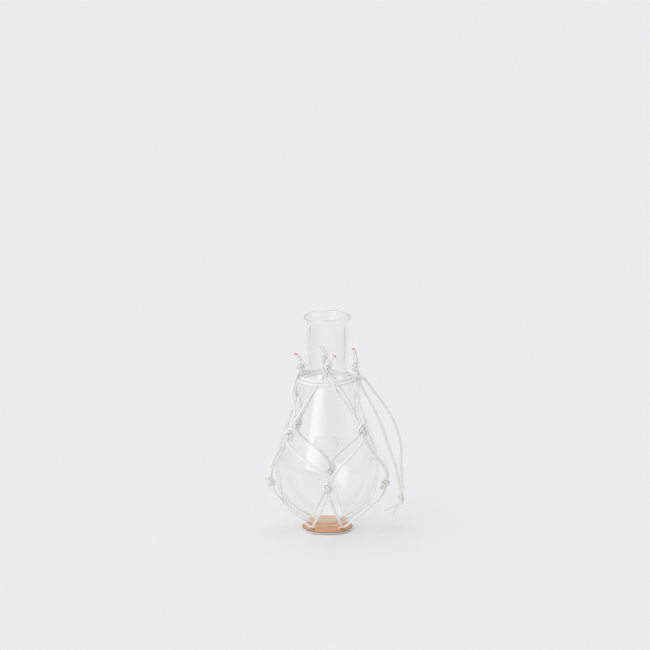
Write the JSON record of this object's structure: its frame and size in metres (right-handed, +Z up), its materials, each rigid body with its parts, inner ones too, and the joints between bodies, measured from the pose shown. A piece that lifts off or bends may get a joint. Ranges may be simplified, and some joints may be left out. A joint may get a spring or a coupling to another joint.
{
  "type": "flask vase",
  "caption": "Clear round-bottomed glass flask used as a vase, held upright on a leather base in a knotted net of white leather cord with a drawstring at the neck.",
  "frame": {"origin": "middle of the underside of the leather base, where the vase stands", "axes": "+Z up along the flask's axis, -Y towards the front, +X to the right, where the drawstring's ends hang"},
  "size_m": [0.1098, 0.0927, 0.1661],
  "materials": {
    "clear_glass": "polished",
    "white_leather": "satin coated",
    "tan_leather": "matt suede side"
  },
  "bodies": {
    "net_holder": {"base_disc_lower": "white_leather", "base_disc_upper": "tan_leather", "net_cord_front": "white_leather", "net_cord_right": "white_leather", "net_cord_back": "white_leather", "net_cord_left": "white_leather", "drawstring_turns": "white_leather", "drawstring_leg_outer": "white_leather", "drawstring_leg_inner": "white_leather"},
    "flask": {"glass_flask": "clear_glass"}
  },
  "joints": [
    {"name": "flask_lift", "type": "slide", "parent": "net_holder", "child": "flask", "axis": [0, 0, 1], "range_m": [0, 0.17], "deforming": ["net_cord_front", "net_cord_right", "net_cord_back", "net_cord_left", "drawstring_turns", "drawstring_leg_outer", "drawstring_leg_inner"]}
  ]
}
